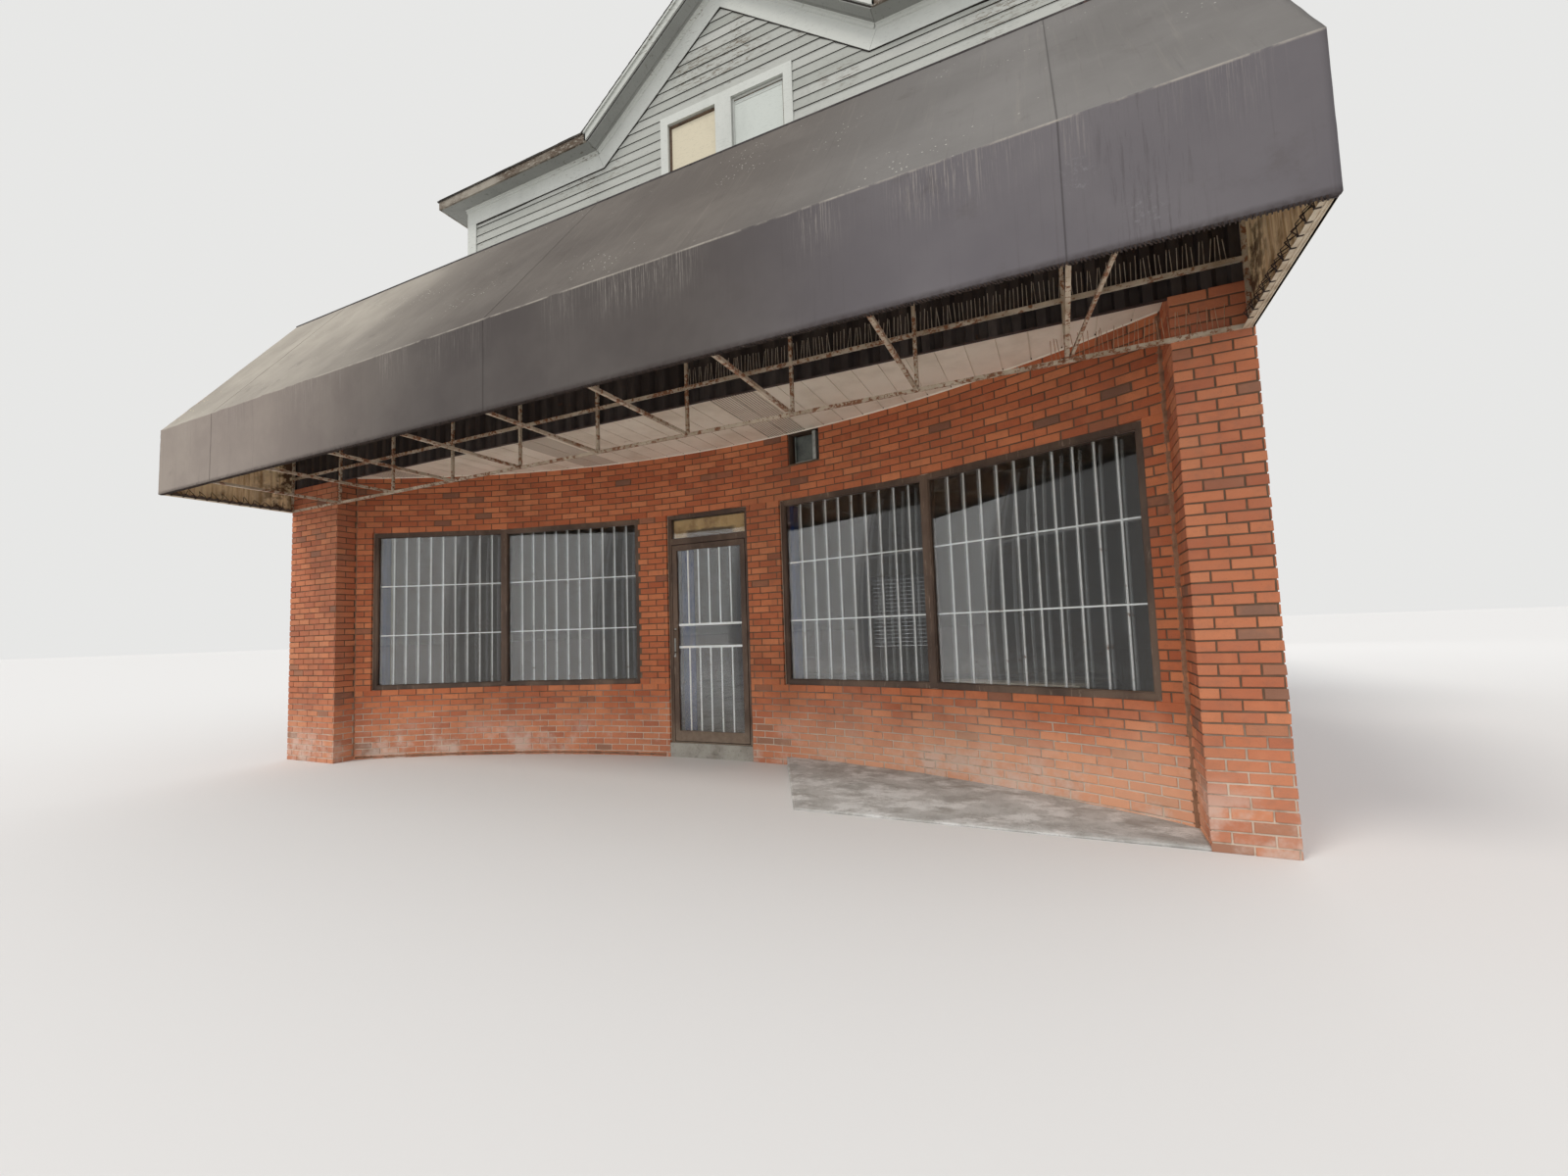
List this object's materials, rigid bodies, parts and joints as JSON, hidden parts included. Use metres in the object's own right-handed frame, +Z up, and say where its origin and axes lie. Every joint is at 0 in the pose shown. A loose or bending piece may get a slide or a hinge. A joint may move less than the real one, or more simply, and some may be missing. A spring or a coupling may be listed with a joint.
{
  "type": "corner shop building",
  "caption": "Row shop building: bowed brick shopfront between street piers, long fabric awning on a tube frame, timber house with a front gable above.",
  "frame": {"origin": "on the ground, in the middle of the plot, at the underside of the shop floor", "axes": "+X to the right along the street, +Y into the plot away from the street, +Z up"},
  "size_m": [9.6, 12.867, 11.1938],
  "materials": {
    "face_brick": "matt orange-red face brick with thin grey joints",
    "common_brick": "matt common brick",
    "concrete": "rough weathered concrete",
    "bronze_metal": "dark bronze anodised",
    "shop_glass": "clear",
    "white_bars": "white gloss paint",
    "awning_tube": "old white paint with rust",
    "awning_fabric": "coated awning fabric, weathered",
    "ceiling_panel": "satin beige panels",
    "fascia_metal": "dark brown paint",
    "flat_roofing": "mineral roofing felt",
    "siding": "weathered pale grey paint on boards",
    "trim_paint": "weathered pale paint",
    "window_board": "painted boards",
    "shingle": "asphalt shingles"
  },
  "bodies": {
    "building": {"street_piers": "face_brick", "walls_beside_openings": "face_brick", "walls_under_windows": "face_brick", "walls_over_openings": "face_brick", "street_beam": "common_brick", "parapets": "common_brick", "party_walls": "common_brick", "back_wall": "common_brick", "door_step": "concrete", "concrete_apron": "concrete", "shop_floor": "concrete", "window_frames": "bronze_metal", "door_frame": "bronze_metal", "wall_vent": "bronze_metal", "window_glass": "shop_glass", "window_grilles": "white_bars", "awning_wall_frame": "awning_tube", "awning_arms": "awning_tube", "awning_front_frame": "awning_tube", "awning_rafters": "awning_tube", "awning_slope": "awning_fabric", "awning_valance": "awning_fabric", "awning_ends": "awning_fabric", "recess_ceiling": "ceiling_panel", "metal_fascia": "fascia_metal", "parapet_cap": "fascia_metal", "shop_roof": "flat_roofing", "upper_floor": "flat_roofing", "house_front_wall": "siding", "house_side_walls": "siding", "house_back_wall": "siding", "corner_boards": "trim_paint", "frieze": "trim_paint", "window_casings": "trim_paint", "eaves": "trim_paint", "window_boards": "window_board", "main_roof": "shingle", "gable_roof": "shingle"},
    "door": {"door_leaf": "bronze_metal", "door_glass": "shop_glass", "door_grille": "white_bars", "door_pull": "bronze_metal"}
  },
  "joints": [
    {"name": "door_hinge", "type": "hinge", "parent": "building", "child": "door", "pos_m": [0.69092, -4.27825, 1.25], "axis": [0, 0, 1], "range_deg": [0, 90]}
  ]
}
